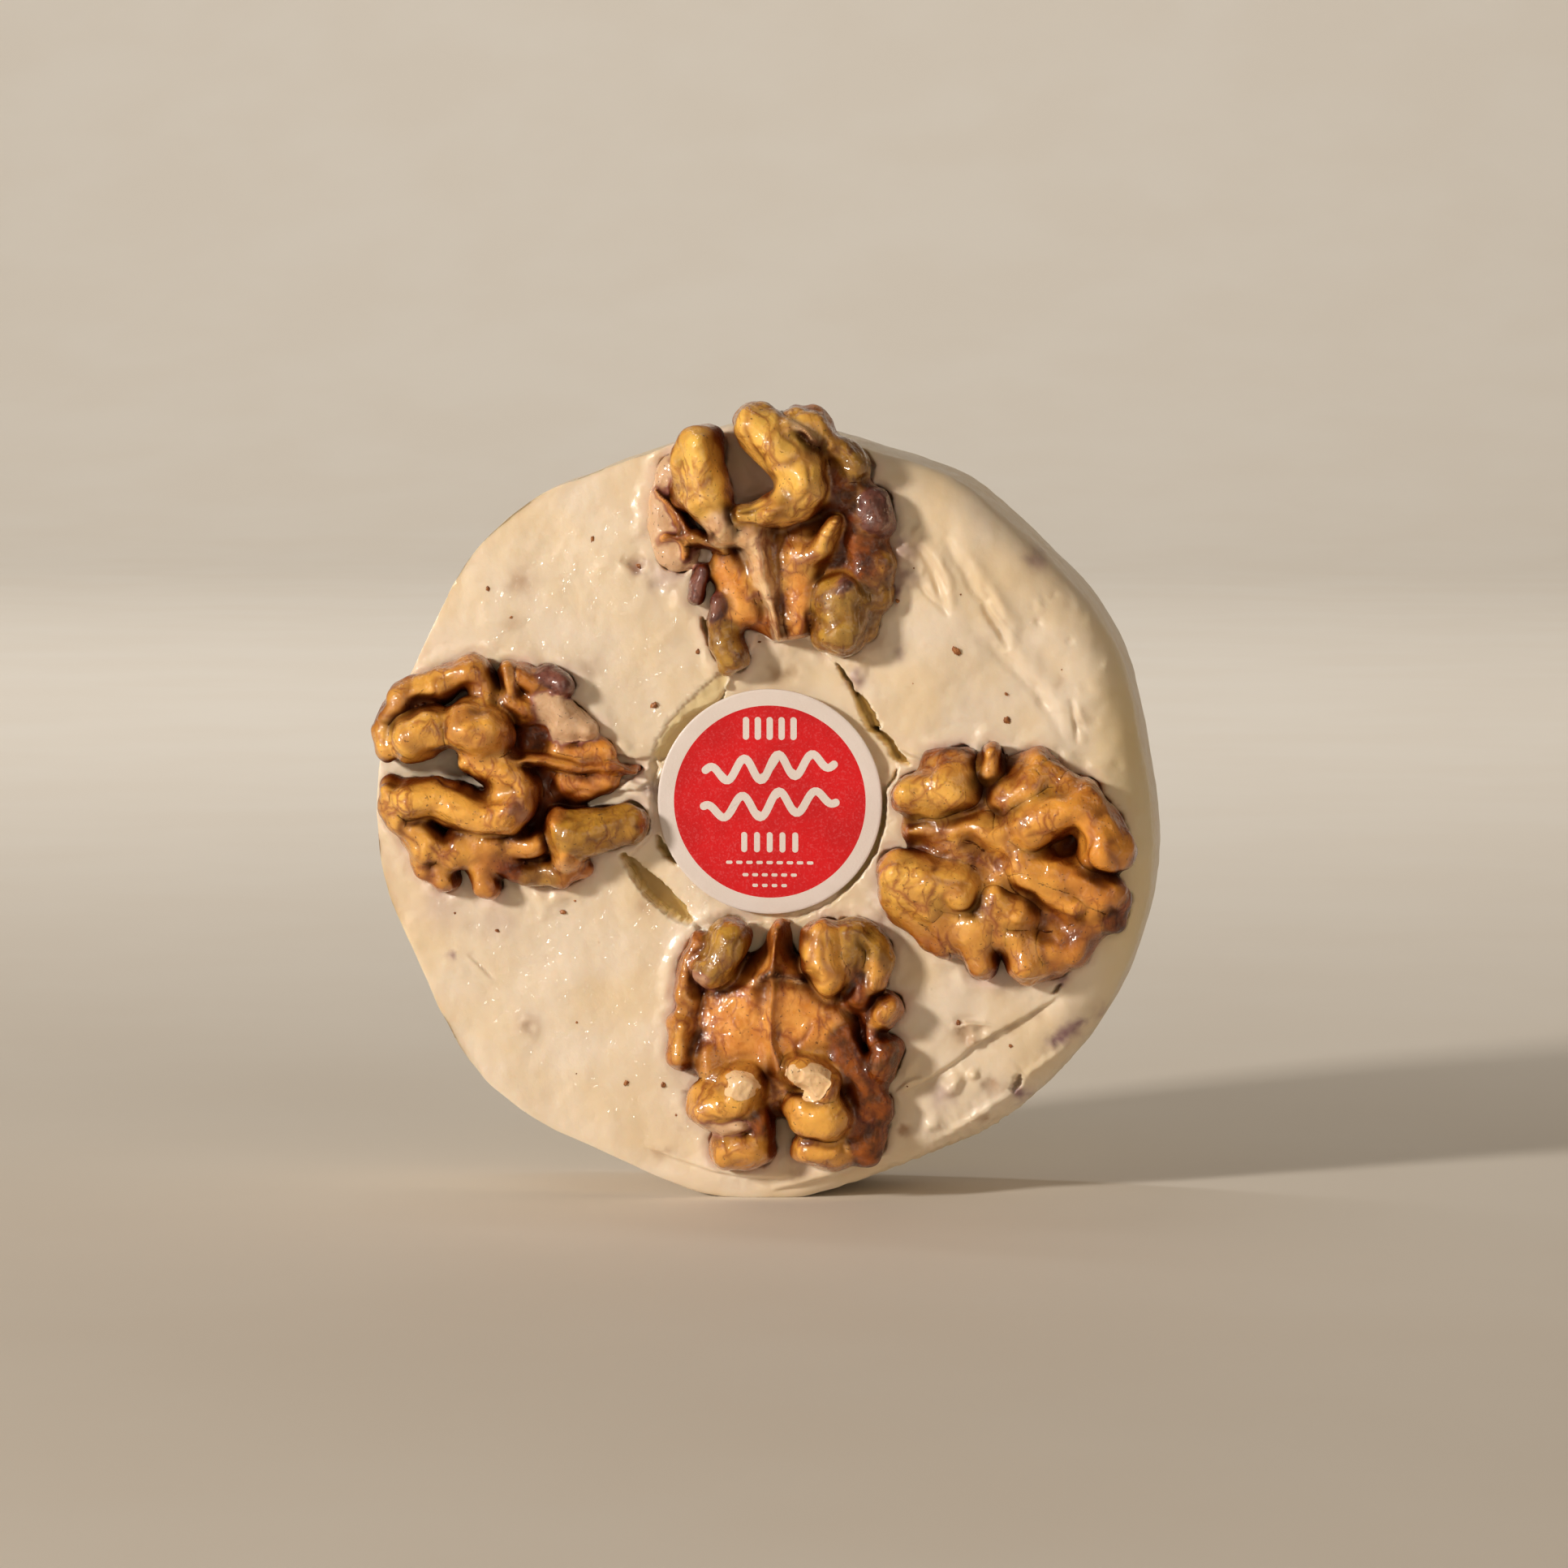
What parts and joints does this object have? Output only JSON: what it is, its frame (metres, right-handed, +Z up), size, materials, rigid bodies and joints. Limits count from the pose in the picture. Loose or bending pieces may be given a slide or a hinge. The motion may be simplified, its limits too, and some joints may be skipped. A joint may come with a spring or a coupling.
{
  "type": "cheese wheel with walnut halves",
  "caption": "Small fresh cheese wheel standing on its edge, with walnut halves pressed into its front face round a thin round label.",
  "frame": {"origin": "middle of the small flat that the wheel stands on", "axes": "+Z up; the front face, with the nuts and the label, looks along -Y; +X is to the right as seen from the front"},
  "size_m": [0.0889, 0.0311, 0.0901],
  "materials": {
    "cheese_paste": "soft moist fresh cheese paste, satin",
    "label_print": "coated paper disc, red field inside a white rim",
    "walnut": "oily golden-brown nut skin with darker veins and creases"
  },
  "bodies": {
    "root": {"cheese": "cheese_paste", "label": "label_print", "kernel_top": "walnut", "kernel_left": "walnut", "kernel_right": "walnut", "kernel_bottom": "walnut"}
  },
  "joints": []
}
